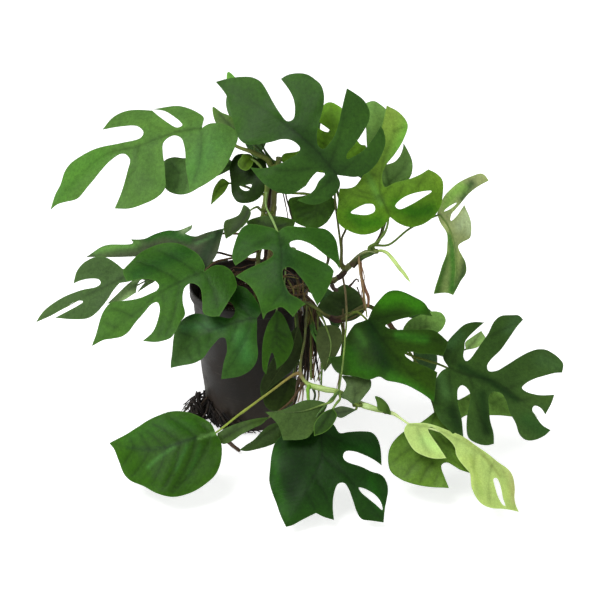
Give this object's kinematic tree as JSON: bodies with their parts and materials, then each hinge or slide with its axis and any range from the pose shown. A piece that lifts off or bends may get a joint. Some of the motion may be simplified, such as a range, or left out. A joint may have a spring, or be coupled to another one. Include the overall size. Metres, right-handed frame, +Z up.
{
  "type": "potted mini monstera plant",
  "caption": "Bushy climbing aroid with deeply split and holed leaves, aerial roots and trailing vines, standing in a tapered round nursery pot.",
  "frame": {"origin": "middle of the pot's underside, on the surface that it stands on", "axes": "+Z up through the pot; the plant leans and trails towards -Y, and its longest vines reach to the +X side"},
  "size_m": [0.5187, 0.3152, 0.361],
  "materials": {
    "pot_plastic": "dark brown moulded plastic, satin, dusty",
    "root_dark": "dark dried root, matte",
    "root_tan": "fibrous tan aerial root, rough",
    "leaf_pale": "newest leaf, pale yellow-green, soft and translucent",
    "potting_soil": "dark peat with fibres and crumbs",
    "stake_wood": "dark stained split cane",
    "stem_brown": "woody green-brown stem with leaf scars",
    "stem_green": "green stem with brown nodes",
    "stem_red": "red-brown woody vine",
    "stem_pale": "pale fresh green stem, semi-gloss",
    "leaf_dark": "mature leaf, dark green, satin above, paler and matte below",
    "leaf_middle": "leaf, mid green, satin with fine parallel side veins",
    "leaf_bright": "young leaf, bright green, satin"
  },
  "bodies": {
    "root": {"leaf_01": "leaf_middle", "leaf_02": "leaf_dark", "leaf_03": "leaf_middle", "leaf_04": "leaf_dark", "leaf_05": "leaf_bright", "leaf_06": "leaf_bright", "leaf_07": "leaf_dark", "leaf_08": "leaf_bright", "leaf_09": "leaf_dark", "leaf_10": "leaf_bright", "leaf_11": "leaf_bright", "leaf_12": "leaf_dark", "leaf_13": "leaf_middle", "leaf_14": "leaf_middle", "leaf_15": "leaf_dark", "leaf_16": "leaf_dark", "leaf_17": "leaf_middle", "leaf_18": "leaf_middle", "leaf_19": "leaf_dark", "leaf_20": "leaf_middle", "leaf_21": "leaf_dark", "leaf_22": "leaf_dark", "leaf_23": "leaf_dark", "leaf_24": "leaf_dark", "leaf_25": "leaf_bright", "leaf_26": "leaf_dark", "leaf_27": "leaf_middle", "leaf_28": "leaf_pale", "leaf_29": "leaf_middle", "leaf_30": "leaf_dark", "leaf_31": "leaf_middle", "leaf_32": "leaf_dark", "leaf_33": "leaf_dark", "leaf_34": "leaf_dark", "leaf_35": "leaf_dark", "leaf_36": "leaf_bright", "leaf_37": "leaf_dark", "leaf_38": "leaf_bright", "leaf_39": "leaf_dark", "leaf_40": "leaf_dark", "leaf_41": "leaf_dark", "leaf_42": "leaf_bright", "leaf_back_1": "leaf_middle", "leaf_back_2": "leaf_dark", "leaf_back_3": "leaf_dark", "leaf_back_4": "leaf_dark", "leaf_back_5": "leaf_dark", "leaf_back_6": "leaf_middle", "pot": "pot_plastic", "root_stub": "root_dark", "roots_foot": "root_dark", "roots_rim": "root_tan", "shoot": "leaf_pale", "soil": "potting_soil", "stake": "stake_wood", "stem_a": "stem_brown", "stem_b": "stem_green", "vine_c": "stem_brown", "vine_d": "stem_red", "vine_e": "stem_pale"}
  },
  "joints": []
}
